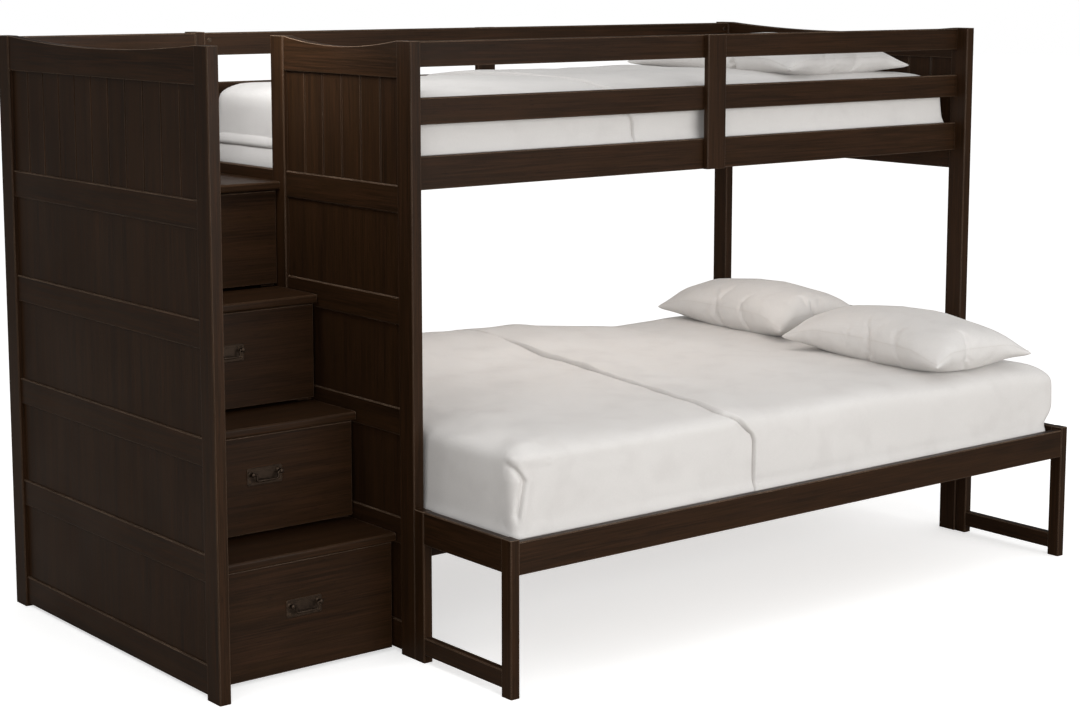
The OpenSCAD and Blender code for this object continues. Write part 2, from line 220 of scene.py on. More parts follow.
# Birch plywood under clear sealer: even cream with small pores and a slight shine.
birch = {
    "deep": "#c9a777", "stain": "#ddc196", "warm": "#d2b283", "pore": "#b8935f",
    "edgeHighlightAndWearColour": "#ecd7b2",
    "figure": (0.03, 0.5), "fibre": (0.0022, 0.09), "poreLine": (0.0012, 0.012),
    "edgeHighlightAndWearWidth": 0.0012, "edgeHighlightAndWearStrength": 0.2,
    "roughness": (0.42, 0.56), "specular": 0.45, "coat": 0.05,
}
# its sawn ends: darker, with pores instead of streaks
birchEnds = {**birch, "deep": "#a98250", "stain": "#bd9763", "warm": "#b28a58",
             "figure": (0.006, 0.006), "fibre": (0.0012, 0.0012)}


# the edge mask: where a rounded edge would turn away from the flat face; on the woods it paints
# highlight together with rub-through, on the bronze it is polished wear
def edgeWearAndHighlight(tree, width, turnedBy, strength):
    rounded = addNode(tree, "ShaderNodeBevel", {"Radius": width}, samples=4).outputs[0]
    flat = addNode(tree, "ShaderNodeNewGeometry").outputs["Normal"]
    turn = addNode(tree, "ShaderNodeVectorMath", {0: rounded, 1: flat}, operation="DOT_PRODUCT")
    return rounded, ranged(tree, turn.outputs["Value"], 0.995, turnedBy, 0.0, strength)


def grainedWood(name, look, grain):
    material, tree, place = newMaterial(name)
    streaks = {}
    for part in ("figure", "fibre", "poreLine"):
        width, length = look[part]
        scale = [1 / width] * 3
        scale[grain] = 1 / length
        turned = addNode(tree, "ShaderNodeMapping", {"Vector": place, "Scale": scale}).outputs[0]
        streaks[part] = clouds(tree, turned, 1.0, 3.0, 0.55, 0.5 if part == "figure" else 0.0)
    broad = ranged(tree, streaks["figure"], 0.32, 0.68)
    body = blended(tree, broad, look["deep"], look["stain"])
    fine = ranged(tree, streaks["fibre"], 0.4, 0.75, 0.0, 0.6)
    body = blended(tree, fine, body, look["warm"])
    pores = ranged(tree, streaks["poreLine"], 0.60, 0.72, 0.0, 0.7)
    body = blended(tree, pores, body, look["pore"])
    rounded, edge = edgeWearAndHighlight(tree, look["edgeHighlightAndWearWidth"], 0.86, look["edgeHighlightAndWearStrength"])
    patchy = clouds(tree, place, 9.0, 3.0)
    edgeHighlightAndWear = calculated(tree, "MULTIPLY", edge, patchy)
    # painted highlight: edges facing up, on ledges and tread noses, are paled more than upright
    # edges, as if lit from above
    facing = addNode(tree, "ShaderNodeSeparateXYZ", {0: rounded}).outputs[2]
    upwardHighlight = ranged(tree, facing, 0.1, 0.5, 0.5, 1.25)
    edgeHighlightAndWear = calculated(tree, "MULTIPLY", edgeHighlightAndWear, upwardHighlight, clamp=True)
    # painted highlight, with some rubbed-through stain: the pale edge colour is mixed in along the
    # edges
    body = blended(tree, edgeHighlightAndWear, body, look["edgeHighlightAndWearColour"])
    cloudy = clouds(tree, place, 4.0, 2.0)
    rough = calculated(tree, "MULTIPLY_ADD", cloudy, streaks["fibre"], 0.0)
    rough = ranged(tree, rough, 0.12, 0.4, *look["roughness"])
    relief = calculated(tree, "SUBTRACT", streaks["fibre"], pores)
    bump = addNode(tree, "ShaderNodeBump", {"Strength": 0.22, "Distance": 0.0006,
                                            "Height": relief, "Normal": rounded})
    closeMaterial(tree, {
        "Base Color": body, "Roughness": rough, "Normal": bump.outputs[0], "IOR": 1.5,
        "Specular IOR Level": look["specular"], "Coat Weight": look["coat"],
        "Coat Roughness": 0.28})
    return material


espressoAlongX = grainedWood("espressoLacquerAlongX", espresso, 0)
espressoAlongY = grainedWood("espressoLacquerAlongY", espresso, 1)
espressoAlongZ = grainedWood("espressoLacquerAlongZ", espresso, 2)
pineAlongX = grainedWood("planedPineAlongX", pine, 0)
pineAlongY = grainedWood("planedPineAlongY", pine, 1)
birchPly = grainedWood("sealedBirchPly", birch, 1)
birchEnd = grainedWood("birchEndGrain", birchEnds, 0)


# Oil-rubbed bronze over brass: dark brown metal, warm where fingers have polished the edges.
bronze = {
    "dark": "#332b25", "brown": "#4f4034", "polished": "#8b7159",
    "blotches": 90.0,   # 11 mm blotches
    "grit": 900.0,      # 1.1 mm pitting
    "edgeHighlightAndWearWidth": 0.0012, "roughness": (0.36, 0.55),
}


def rubbedBronze(name, look):
    material, tree, place = newMaterial(name)
    blotch = clouds(tree, place, look["blotches"], 5.0)
    grit = clouds(tree, place, look["grit"], 2.0)
    body = blended(tree, blotch, look["dark"], look["brown"])
    edge = edgeWearAndHighlight(tree, look["edgeHighlightAndWearWidth"], 0.8, 0.8)[1]
    body = blended(tree, edge, body, look["polished"])
    rough = ranged(tree, blotch, 0.3, 0.7, *look["roughness"])
    bump = addNode(tree, "ShaderNodeBump", {"Strength": 0.2, "Distance": 0.0002, "Height": grit})
    closeMaterial(tree, {"Base Color": body, "Metallic": 0.9, "Roughness": rough,
                         "Normal": bump.outputs[0]})
    return material


agedBronze = rubbedBronze("oilRubbedBronze", bronze)


# Percale cotton: an even plain weave, matt and off-white, with soft crumples.
percale = {
    "white": "#e7e4e1", "shade": "#dddad7", "crease": "#d3cfcc",
    "thread": 0.0014,        # real threads are 0.25 mm apart; drawn wider so the weave shows
    "threadRelief": 0.00012,
    "slubs": 260.0,          # 4 mm slubs
    "crumple": 0.055,        # size of the soft crumples, metres
    "crumpleRelief": 0.0022,
    "sheen": 0.18,
}


def wovenCotton(name, look):
    material, tree, place = newMaterial(name)
    turns = [2 * math.pi / look["thread"]] * 3
    along = addNode(tree, "ShaderNodeVectorMath", {0: place, 1: turns}, operation="MULTIPLY")
    waves = addNode(tree, "ShaderNodeVectorMath", {0: along.outputs[0]}, operation="SINE")
    x, y, z = addNode(tree, "ShaderNodeSeparateXYZ", {0: waves.outputs[0]}).outputs
    weave = calculated(tree, "MULTIPLY", x, y)
    weave = calculated(tree, "MULTIPLY_ADD", y, z, weave)
    weave = calculated(tree, "MULTIPLY_ADD", z, x, weave)
    slub = clouds(tree, place, look["slubs"], 3.0)
    soft = clouds(tree, place, 1 / look["crumple"], 4.0, 0.45, 0.35)
    broad = clouds(tree, place, 2.6, 2.0)
    tone = blended(tree, broad, look["white"], look["shade"])
    # painted shade: the hollows of the crumple relief are darkened toward the crease colour
    crumpleShade = ranged(tree, soft, 0.5, 0.25, 0.0, 0.35)
    tone = blended(tree, crumpleShade, tone, look["crease"])
    threads = ranged(tree, weave, -1.5, 1.5, 0.94, 1.0)
    flecks = ranged(tree, slub, 0.3, 0.7, 0.975, 1.0)
    dim = calculated(tree, "MULTIPLY", threads, flecks)
    tone = addNode(tree, "ShaderNodeVectorMath", {0: tone, "Scale": dim}, operation="SCALE")
    low = addNode(tree, "ShaderNodeBump", {"Strength": 0.35, "Distance": look["crumpleRelief"],
                                           "Height": soft})
    high = addNode(tree, "ShaderNodeBump", {"Strength": 0.5, "Distance": look["threadRelief"],
                                            "Height": weave, "Normal": low.outputs[0]})
    rough = ranged(tree, slub, 0.0, 1.0, 0.78, 0.92)
    closeMaterial(tree, {
        "Base Color": tone.outputs[0], "Roughness": rough, "Normal": high.outputs[0],
        "Specular IOR Level": 0.25, "Sheen Weight": look["sheen"], "Sheen Roughness": 0.45})
    return material


coverCotton = wovenCotton("percaleCottonCover", percale)
duvetCotton = wovenCotton("percaleCottonDuvet", {**percale, "crumple": 0.08})
pillowCotton = wovenCotton("percaleCottonPillowcase",
                           {**percale, "white": "#e5e2df", "crumple": 0.045})
seamThread = wovenCotton("polyesterSeamThread",
                         {**percale, "white": "#d8d4ce", "shade": "#cbc6bf", "crumple": 0.02})
print("materials made")

# finishes on the parts that keep their own shape: the first line that fits a name is taken
finishes = [
    (("_post", "_panels", "centre_boards", "extension_legs"), espressoAlongZ),
    (("_slats",), pineAlongY),
    (("slat_cleats",), pineAlongX),
    (("_box",), birchPly),
    (("pull_plate", "pull_bail", "barrel_nuts"), agedBronze),
    (("guard_",), espressoAlongX),
    (("_top_rail", "cross_rails", "side_boards", "drawer_runners"), espressoAlongY),
    (("",), espressoAlongX),
]
for name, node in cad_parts.items():
    chosen = next(finish for words, finish in finishes if any(word in name for word in words))
    node.data.materials.clear()
    node.data.materials.append(chosen)
print("finishes given")


def newPiece(name, mesh, material, body):
    mesh.name = name
    mesh.materials.clear()
    mesh.materials.append(material)
    piece = bpy.data.objects.new(name, mesh)
    scene.collection.objects.link(piece)
    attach(piece, body)
    return piece


def meshFrom(bm, name):
    mesh = bpy.data.meshes.new(name)
    bm.to_mesh(mesh)
    bm.free()
    return mesh


def plainMesh(obj):
    graph = bpy.context.evaluated_depsgraph_get()
    return bpy.data.meshes.new_from_object(obj.evaluated_get(graph))


def scratchObject(name, mesh):
    obj = bpy.data.objects.new(name, mesh)
    scene.collection.objects.link(obj)
    return obj


def withModifiers(mesh, steps):
    obj = scratchObject("shaping", mesh)
    for kind, settings in steps:
        modifier = obj.modifiers.new(kind, kind)
        for key, value in settings.items():
            setattr(modifier, key, value)
    result = plainMesh(obj)
    bpy.data.objects.remove(obj)
    return result


def points(mesh):
    co = np.empty(len(mesh.vertices) * 3)
    mesh.vertices.foreach_get("co", co)
    return co.reshape(-1, 3)


def setPoints(mesh, co):
    mesh.vertices.foreach_set("co", np.asarray(co, float).ravel())
    mesh.update()


tiny = 1e-9
close = 1e-6


def smoothstep(a, b, x):
    t = np.clip((x - a) / (b - a), 0, 1)
    return t * t * (3 - 2 * t)


def noiseAt(co, size, shift=0.0):
    return np.array([noise.noise(Vector(p) / size + Vector((shift, shift, shift))) for p in co])


def settleCloth(mesh, look, held=None):
    obj = scratchObject("settling", mesh)
    before = points(mesh)
    cloth = obj.modifiers.new("cloth", "CLOTH")
    rules = cloth.settings
    rules.quality = look["quality"]
    rules.mass = look["mass"]
    rules.tension_stiffness = rules.compression_stiffness = look["stretch"]
    rules.shear_stiffness = look["shear"]
    rules.bending_stiffness = look["bend"]
    rules.use_pressure = True
    rules.uniform_pressure_force = look["pressure"]
    rules.shrink_min = look["shrink"]
    rules.effector_weights.gravity = 0
    if held is not None:
        group = obj.vertex_groups.new(name="held")
        group.add([int(i) for i in np.flatnonzero(held)], 1.0, "REPLACE")
        rules.vertex_group_mass = "held"
    cloth.point_cache.frame_start = 1
    cloth.point_cache.frame_end = look["frames"]
    for step in range(1, look["frames"] + 1):
        scene.frame_set(step)
    after = points(plainMesh(obj))
    scene.frame_set(1)
    bpy.data.objects.remove(obj)
    move = after - before
    far = np.linalg.norm(move, axis=1, keepdims=True)
    cap = look["cap"]
    if cap:
        move *= cap * np.tanh(far / cap) / np.maximum(far, tiny)
    setPoints(mesh, before + move)


def roundEdges(bm, edges, radius, segments, clamp=False):
    bmesh.ops.bevel(bm, geom=edges, offset=radius, offset_type="OFFSET", segments=segments,
                    profile=0.5, affect="EDGES", clamp_overlap=clamp)


def roundedBlock(low, high, endRadii, topRadius, bottomRadius):
    bm = bmesh.new()
    bmesh.ops.create_cube(bm, size=1)
    for v in bm.verts:
        v.co = Vector([low[i] if v.co[i] < 0 else high[i] for i in range(3)])
    for end, radius in zip((low.x, high.x), endRadii):
        upright = [e for e in bm.edges if all(abs(v.co.x - end) < close for v in e.verts)
                   and abs(e.verts[0].co.z - e.verts[1].co.z) > close]
        roundEdges(bm, upright, radius, 8)
    for level, radius in ((high.z, topRadius), (low.z, bottomRadius)):
        rim = [e for e in bm.edges if all(abs(v.co.z - level) < close for v in e.verts)]
        roundEdges(bm, rim, radius, 7, clamp=True)
    return meshFrom(bm, "block")


# mattresses under their covers
covers = {
    "lowerCover": {
        "replaces": "lower_mattress", "endRadii": (0.030, 0.040), "topRadius": 0.034,
        "bottomRadius": 0.03, "inset": 0.007, "topInset": 0.021, "crown": 0.004, "ripple": 0.0035,
        "shift": 3.1, "backRise": 0.026, "frontBulge": 0.036, "headDip": 0.016,
    },
    "upperCover": {
        "replaces": "upper_mattress", "endRadii": (0.024, 0.022), "topRadius": 0.045,
        "bottomRadius": 0.02, "inset": 0.007, "topInset": 0.014, "crown": 0.012, "ripple": 0.003,
        "shift": 8.7, "backRise": 0.0, "frontBulge": 0.0, "headDip": 0.007,
    },
}
coverCloth = {"mass": 0.25, "stretch": 12, "shear": 4, "bend": 0.8, "pressure": 4.0,
              "shrink": -0.012, "frames": 14, "cap": 0.009, "quality": 4}
# metres; the heights are above the underside of the mattress
coverShape = {
    "voxel": 0.016, "held": 0.04, "clear": 0.001, "tight": (0.05, 0.10), "foot": (0.022, 0.045),
    "spread": 0.9, "spreadReach": (0.012, 0.045),
}


def crownedCover(look):
    low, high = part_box(look["replaces"])
    side = look["inset"]
    mesh = roundedBlock(low + Vector((side, side, side)),
                        high - Vector((side, side, look["topInset"])),
                        look["endRadii"], look["topRadius"], look["bottomRadius"])
    mesh = withModifiers(mesh, [
        ("REMESH", {"mode": "VOXEL", "voxel_size": coverShape["voxel"]}),
        ("SMOOTH", {"factor": 0.5, "iterations": 6}),
    ])
    co = points(mesh)
    across = (co - np.array(low)) / (np.array(high) - np.array(low)) * 2 - 1
    over = smoothstep(0.0, 1.0, across[:, 2])
    co[:, 2] += look["crown"] * over * (1 - across[:, 0] ** 4) * (1 - across[:, 1] ** 4)
    ripple = noiseAt(co, 0.42, look["shift"]) + 0.5 * noiseAt(co, 0.17, 5.3)
    co[:, 2] += over * look["ripple"] * ripple
    setPoints(mesh, co)
    settleCloth(mesh, coverCloth, held=co[:, 2] < low.z + coverShape["held"])
    co = points(mesh)
    # nothing swells through the slats or the side rails
    clear = coverShape["clear"]
    co[:, 2] = np.maximum(co[:, 2], low.z + clear)
    tight, foot = [1 - smoothstep(low.z + a, low.z + b, co[:, 2])
                   for a, b in (coverShape["tight"], coverShape["foot"])]
    for axis in (0, 1):
        kept = np.clip(co[:, axis], low[axis] + clear, high[axis] - clear)
        co[:, axis] += (kept - co[:, axis]) * tight
        # the weight above spreads the foot of the mattress against the rails
        for wall, inwards in ((low[axis] + clear, 1), (high[axis] - clear, -1)):
            gap = (co[:, axis] - wall) * inwards
            reach = 1 - smoothstep(*coverShape["spreadReach"], gap)
            co[:, axis] -= inwards * gap * foot * coverShape["spread"] * reach
    # thicker towards the back of the foot half; the head end leans out in front of the post
    x, y, z = co.T.copy()
    upper = smoothstep(high.z - 0.09, high.z - 0.03, z)
    footHalf = 1 - smoothstep(0.10, 0.75, x)
    co[:, 2] += look["backRise"] * upper * smoothstep(0.15, 0.60, y) * footHalf
    lean = smoothstep(high.x - 0.25, high.x, x) * (1 - smoothstep(-0.45, -0.385, y))
    co[:, 0] += look["frontBulge"] * lean * smoothstep(low.z + 0.055, low.z + 0.10, z)
    headEnd = smoothstep(0.42, 0.85, x) + smoothstep(high.x - 0.16, high.x, x)
    co[:, 2] -= look["headDip"] * upper * headEnd
    setPoints(mesh, co)
    return mesh


def pieceOf(name, mesh, material, slotName, fill, *nodes, levels=1):
    mesh = withModifiers(mesh, [("SUBSURF", {"levels": levels, "render_levels": levels})])
    for face in mesh.polygons:
        face.use_smooth = True
    piece = newPiece(name, mesh, material, "root")
    if nodes:
        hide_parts(*nodes)


coverMeshes = {}
for name, look in covers.items():
    coverMeshes[name] = crownedCover(look)
    pieceOf(name, coverMeshes[name].copy(), coverCotton, "bed_linen", 0.7, look["replaces"],
            levels=0)
    print("cover:", name, len(coverMeshes[name].vertices), "points")

# duvets lie over the foot half and folded blankets over the head half; their rolled edges
# meet in a crease across the bed
lowerFold = {
    "over": "lowerCover", "hemZ": 0.352,
    "edge": (0.045, 0.072, 0.15, 1.20),   # X of the crease: middle, swing, phase, half wave
    "sideSwing": (0.095, 0.50, 0.595),    # how far the crease trails headwards down the front
}
upperFold = {
    "over": "upperCover", "hemZ": 1.215,
    "edge": (-0.012, 0.028, 0.10, 0.80), "sideSwing": (0.050, 1.28, 1.37),
}
duvets = {
    "lowerDuvet": {
        **lowerFold, "replaces": ["lower_duvet"], "headSide": False, "thick": 0.020,
        "roll": 0.022, "sideThick": 0.008, "shift": 1.7, "backLift": 0.016, "ridge": 0.0,
        "bulge": 0.0, "endDrop": 0.0,
        "crease": ((-0.690, 0.552), (-0.670, 0.502), (-0.683, 0.424)),  # X, Z down the corner
    },
    "lowerBlanket": {
        **lowerFold, "replaces": [], "headSide": True, "thick": 0.028, "roll": 0.009,
        "sideThick": 0.013, "shift": 5.1, "backLift": 0.0, "bulge": 0.0, "endDrop": 0.0,
        "ridge": 0.010,      # a soft step in the blanket beyond its turned-down band
        "crease": None,
    },
    "upperDuvet": {
        **upperFold, "replaces": [], "headSide": False, "thick": 0.016, "roll": 0.020,
        "sideThick": 0.006, "shift": 6.2, "backLift": -0.008, "ridge": 0.0, "bulge": 0.010,
        "endDrop": 0.058, "crease": None,
    },
    "upperBlanket": {
        **upperFold, "replaces": [], "headSide": True, "thick": 0.020, "roll": 0.008,
        "sideThick": 0.010, "shift": 9.4, "backLift": 0.0, "ridge": 0.0, "bulge": 0.0,
        "endDrop": 0.0, "crease": None,
    },
}
layerShape = {
    "gap": 0.001,                        # from the crease line to the edge of a layer
    "rollRows": (0.004, 0.008, 0.014),   # close rows give the rolled edge its round section
    "lift": 0.0006, "sink": 0.0015,      # upper and lower face against the cover
    "press": 0.0045, "wall": 0.002,      # how far the end presses past the mattress box
    "puff": ((0.30, 0.30), (0.18, 0.11)),  # strength and size of the soft bumps
    "smoothing": 16,
}


def edgeX(look, y, z, front):
    middle, swing, phase, wave = look["edge"]
    trail, bottom, top = look["sideSwing"]
    x = middle + swing * np.sin(math.pi * (y + phase) / wave)
    side = 1 - smoothstep(front + 0.01, front + 0.06, y)
    return x + trail * side * (1 - smoothstep(bottom, top, z))


def cornerCrease(look, co, front):
    (xa, za), (xb, zb), (xc, zc) = look["crease"]
    x, y, z = co.T
    lineX = np.where(z > zb, xb + (xa - xb) * np.clip((z - zb) / (za - zb), 0, 1),
                     xb + (xc - xb) * np.clip((zb - z) / (zb - zc), 0, 1))
    away = x - lineX
    fade = smoothstep(zc - 0.03, zc + 0.02, z) * (1 - smoothstep(za - 0.042, za + 0.006, z))
    fade *= 1 - smoothstep(front + 0.03, front + 0.07, y)
    groove = -0.013 * np.exp(-(away / 0.0036) ** 2)
    lip = 0.004 * np.exp(-((away - 0.013) / 0.010) ** 2)
    pleat = 0.004 * np.exp(-((away + 0.020) / 0.011) ** 2) * smoothstep(zc, zc + 0.03, z)
    return fade * (groove + lip + pleat)


# the finer corner would keep the coarse mesh's flat facets, so they are smoothed out
def refineCorner(bm, low):
    near = [e for e in bm.edges if all(
        v.co.x < low.x + 0.11 and v.co.y < low.y + 0.05 and v.co.z > 0.38 for v in e.verts)]
    bmesh.ops.subdivide_edges(bm, edges=near, cuts=3, use_grid_fill=True)
    bmesh.ops.triangulate(bm, faces=[f for f in bm.faces if len(f.verts) > 4])
    fine = [v for v in bm.verts if v.co.x < low.x + 0.105 and v.co.y < low.y + 0.048
            and v.co.z > 0.385 and not v.is_boundary]
    for _ in range(layerShape["smoothing"]):
        bmesh.ops.smooth_vert(bm, verts=fine, factor=0.5, use_axis_x=True, use_axis_y=True,
                              use_axis_z=True)


# the part of a cover that a layer lies on, and each point's distance from the layer's edge
def cutLayer(look, low):
    base = coverMeshes[look["over"]].copy()
    bent = points(base)
    bent[:, 0] -= edgeX(look, bent[:, 1], bent[:, 2], low.y)
    setPoints(base, bent)
    bm = bmesh.new()
    bm.from_mesh(base)
    way = 1 if look["headSide"] else -1
    gap = layerShape["gap"]
    cuts = [((gap * way, 0, 0), (-way, 0, 0), True)]
    cuts += [(((gap + back) * way, 0, 0), (-way, 0, 0), False) for back in layerShape["rollRows"]]
    cuts.append(((0, 0, look["hemZ"]), (0, 0, -1), True))
    for place, normal, clear in cuts:
        bmesh.ops.bisect_plane(bm, geom=bm.verts[:] + bm.edges[:] + bm.faces[:], dist=1e-5,
                               plane_co=place, plane_no=normal, clear_outer=clear)
    inside = {}
    for v in bm.verts:
        inside[v] = v.co.x * way - gap
        v.co.x += float(edgeX(look, np.array([v.co.y]), np.array([v.co.z]), low.y)[0])
    if look["crease"]:
        refineCorner(bm, low)
    bm.normal_update()
    return bm, np.array([inside.get(v, 1.0) for v in bm.verts])


def layerDepth(look, co, normals, inside):
    hem = look["hemZ"]
    roll = np.clip(inside / look["roll"], 0, 1)
    rise = np.sqrt(np.maximum(0, 1 - (1 - roll) ** 2))
    up = smoothstep(0.1, 0.8, np.clip(normals[:, 2], 0, 1))
    depth = look["sideThick"] + (look["thick"] - look["sideThick"]) * up
    x, y, z = co.T
    step = 0.235 + 0.235 * y - 0.11 * y * y
    depth += up * look["backLift"] * smoothstep(0.1, 0.62, y)
    depth -= up * look["ridge"] * smoothstep(step - 0.05, step + 0.07, x)
    depth *= 0.35 + 0.65 * smoothstep(hem + 0.01, hem + 0.06, z)
    puff = 1
    for strength, size in layerShape["puff"]:
        puff = puff + strength * noiseAt(co, size, look["shift"])
    return depth * puff * rise


def closeShell(bm, outer, inner):
    verts, faces = bm.verts[:], bm.faces[:]
    rim = [e for e in bm.edges if e.is_boundary]
    twin = {v: bm.verts.new(place) for v, place in zip(verts, inner)}
    for face in faces:
        bm.faces.new([twin[v] for v in reversed(face.verts)])
    for e in rim:
        loop = e.link_loops[0]
        a, b = loop.vert, loop.link_loop_next.vert
        bm.faces.new([b, a, twin[a], twin[b]])
    for v, place in zip(verts, outer):
        v.co = place
    bmesh.ops.recalc_face_normals(bm, faces=bm.faces[:])
    return meshFrom(bm, "layer")


def layerOver(look):
    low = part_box(covers[look["over"]]["replaces"])[0]
    bm, inside = cutLayer(look, low)
    co = np.array([v.co for v in bm.verts])
    normals = np.array([v.normal for v in bm.verts])
    depth = layerDepth(look, co, normals, inside)
    outer = co + normals * (layerShape["lift"] + depth)[:, None]
    if look["crease"]:
        outer += normals * cornerCrease(look, co, low.y)[:, None]
    inner = co - normals * layerShape["sink"]
    # the end lies against the posts and hangs a little below the mattress between them
    x, y, z = co.T
    between = smoothstep(0.29, 0.33, y) * (1 - smoothstep(0.64, 0.67, y))
    between *= smoothstep(1.19, 1.24, z)
    hang = (1 - smoothstep(low.x + 0.02, low.x + 0.06, x)) * look["endDrop"]
    hang *= np.clip(1 - (z - look["hemZ"]) / 0.09, 0, 1)
    for side in (outer, inner):
        side[:, 2] -= hang
    wall = low.x - layerShape["press"]
    outer[:, 0] = np.maximum(outer[:, 0], wall - look["bulge"] * between)
    inner[:, 0] = np.maximum(inner[:, 0], wall + layerShape["wall"])
    return closeShell(bm, outer, inner)


for name, look in duvets.items():
    pieceOf(name, layerOver(look), duvetCotton, "duvet_linen", 0.4, *look["replaces"])
    print("layer:", name)

# pillows: two panels sewn at the hem and filled
pillowShape = {
    "spacing": 0.0095,
    "overcut": 1.10,      # the flat panels are larger than the filled pillow
    "sideBow": (0.025, 0.02),
    "loft": (0.012, 0.03),
    "wrinkle": (0.004, 0.09),
    "overfill": 1.18,     # the full height before the underside is pressed flat
    "bedLine": 0.40, "pressed": 0.12,
    "tip": 0.006, "tipDrop": 0.35,
}
pillowCloth = {"mass": 0.18, "stretch": 14, "shear": 5, "bend": 0.25, "pressure": 9.0,
               "shrink": 0.0, "frames": 26, "cap": None, "quality": 5}
pillows = {
    "frontPillow": {"node": "front_pillow", "size": (0.398, 0.634, 0.143), "turn": -2.5,
                    "shift": 2.2, "lean": 0.006, "move": (0.008, -0.008, -0.013)},
    "backPillow": {"node": "back_pillow", "size": (0.374, 0.620, 0.143), "turn": -5.0,
                   "shift": 4.9, "lean": -0.004, "move": (0.020, -0.004, -0.013)},
    "upperPillow": {"node": "upper_pillow", "size": (0.500, 0.720, 0.130), "turn": 0.0,
                    "shift": 7.4, "lean": 0.0, "move": (0.0, 0.0, -0.006)},
}


# the flat case, and the line of points just inside its hem
def pillowPanels(size):
    flatX, flatY = size.x * pillowShape["overcut"], size.y * pillowShape["overcut"]
    nx, ny = round(flatX / pillowShape["spacing"]), round(flatY / pillowShape["spacing"])
    bowX, bowY = pillowShape["sideBow"]
    least, most = pillowShape["loft"]
    bm = bmesh.new()
    rows = {}
    for side in (1, -1):
        for i in range(nx + 1):
            for j in range(ny + 1):
                hem = i in (0, nx) or j in (0, ny)
                if hem and side < 0:
                    rows[side, i, j] = rows[1, i, j]
                    continue
                u, v = 2 * i / nx - 1, 2 * j / ny - 1
                x = u * (1 - bowX * (1 - v * v) * abs(u) ** 3) * flatX / 2
                y = v * (1 - bowY * (1 - u * u) * abs(v) ** 3) * flatY / 2
                z = 0 if hem else side * (least + most * (1 - u ** 4) * (1 - v ** 4))
                rows[side, i, j] = bm.verts.new((x, y, z))
    for side in (1, -1):
        for i in range(nx):
            for j in range(ny):
                corner = [rows[side, a, b] for a, b in
                          ((i, j), (i + 1, j), (i + 1, j + 1), (i, j + 1))]
                bm.faces.new(corner if side > 0 else corner[::-1])
    bm.verts.index_update()
    ring = [(i, 1) for i in range(1, nx)] + [(nx - 1, j) for j in range(2, ny)]
    ring += [(i, ny - 1) for i in range(nx - 2, 0, -1)] + [(1, j) for j in range(ny - 2, 1, -1)]
    ring = [rows[1, i, j].index for i, j in ring]
    return meshFrom(bm, "pillowPanels"), ring


def filledPillow(look):
    low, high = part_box(look["node"])
    size = Vector(look["size"])
    mesh, ring = pillowPanels(size)
    wrinkle, wide = pillowShape["wrinkle"]
    co = points(mesh)
    co[:, 2] += wrinkle * np.sign(co[:, 2]) * noiseAt(co, wide, look["shift"])
    setPoints(mesh, co)
    settleCloth(mesh, pillowCloth)
    co = points(mesh)
    co -= (co.max(axis=0) + co.min(axis=0)) / 2
    full = np.array((size.x, size.y, size.z * pillowShape["overfill"]))
    co *= full / (co.max(axis=0) - co.min(axis=0))
    # the underside flattens on the bed and the hem settles low
    bed = -size.z * pillowShape["bedLine"]
    below = co[:, 2] < bed
    co[below, 2] = bed + (co[below, 2] - bed) * pillowShape["pressed"]
    co[:, 2] -= co[:, 2].min()
    u = np.abs(co[:, 0]) / (size.x / 2)
    v = np.abs(co[:, 1]) / (size.y / 2)
    corner = smoothstep(0.55, 1.0, u) * smoothstep(0.55, 1.0, v)
    co[:, 2] -= corner * np.maximum(co[:, 2] - pillowShape["tip"], 0) * pillowShape["tipDrop"]
    co[:, 2] += look["lean"] * co[:, 1] / size.y * 2 * np.clip(co[:, 2] / size.z, 0, 1)
    turn = math.radians(look["turn"])
    spin = np.array(((math.cos(turn), -math.sin(turn)), (math.sin(turn), math.cos(turn))))
    co[:, :2] = co[:, :2] @ spin.T
    middle = (low + high) / 2
    co += np.array((middle.x, middle.y, low.z)) + np.array(look["move"])
    setPoints(mesh, co)
    return mesh, ring


seam = {"Spacing": 0.0050, "Stitch Length": 0.0034, "Thread Radius": 0.00055,
        "Material": seamThread}
seamProud = 0.0006
seamLines = {}
for name, look in pillows.items():
    mesh, ring = filledPillow(look)
    normals = np.array([v.normal for v in mesh.vertices])
    seamLines[name] = (points(mesh) + normals * seamProud)[ring]
    pieceOf(name, mesh, pillowCotton, "pillow_linen", 0.6, look["node"])
    print("pillow:", name)


def loosePoints(co, edges=()):
    mesh = bpy.data.meshes.new("points")
    mesh.from_pydata([tuple(p) for p in co], edges, [])
    return mesh


def closedLine(co):
    return loosePoints(co, [(i, (i + 1) % len(co)) for i in range(len(co))])


def newTree(name, inputs):
    tree = bpy.data.node_groups.new(name, "GeometryNodeTree")
    sockets = tree.interface.new_socket
    sockets("Geometry", in_out="INPUT", socket_type="NodeSocketGeometry")
    for label, kind in inputs.items():
        sockets(label, in_out="INPUT", socket_type="NodeSocket" + kind)
    sockets("Geometry", in_out="OUTPUT", socket_type="NodeSocketGeometry")
    return tree, addNode(tree, "NodeGroupInput").outputs


def closeTree(tree, instances, material):
    real = addNode(tree, "GeometryNodeRealizeInstances", {"Geometry": instances})
    painted = addNode(tree, "GeometryNodeSetMaterial", {"Geometry": real.outputs[0],
                                                        "Material": material})
    addNode(tree, "NodeGroupOutput", {"Geometry": painted.outputs[0]})


def runTree(base, tree, values):
    obj = scratchObject("repeating", base)
    modifier = obj.modifiers.new("repeating", "NODES")
    modifier.node_group = tree
    for item in tree.interface.items_tree:
        if item.in_out == "INPUT" and item.name in values:
            modifier[item.identifier] = values[item.name]
    mesh = plainMesh(obj)
    bpy.data.objects.remove(obj)
    return mesh


def joinedMesh(*meshes):
    bm = bmesh.new()
    for mesh in meshes:
        bm.from_mesh(mesh)
    return meshFrom(bm, "joined")


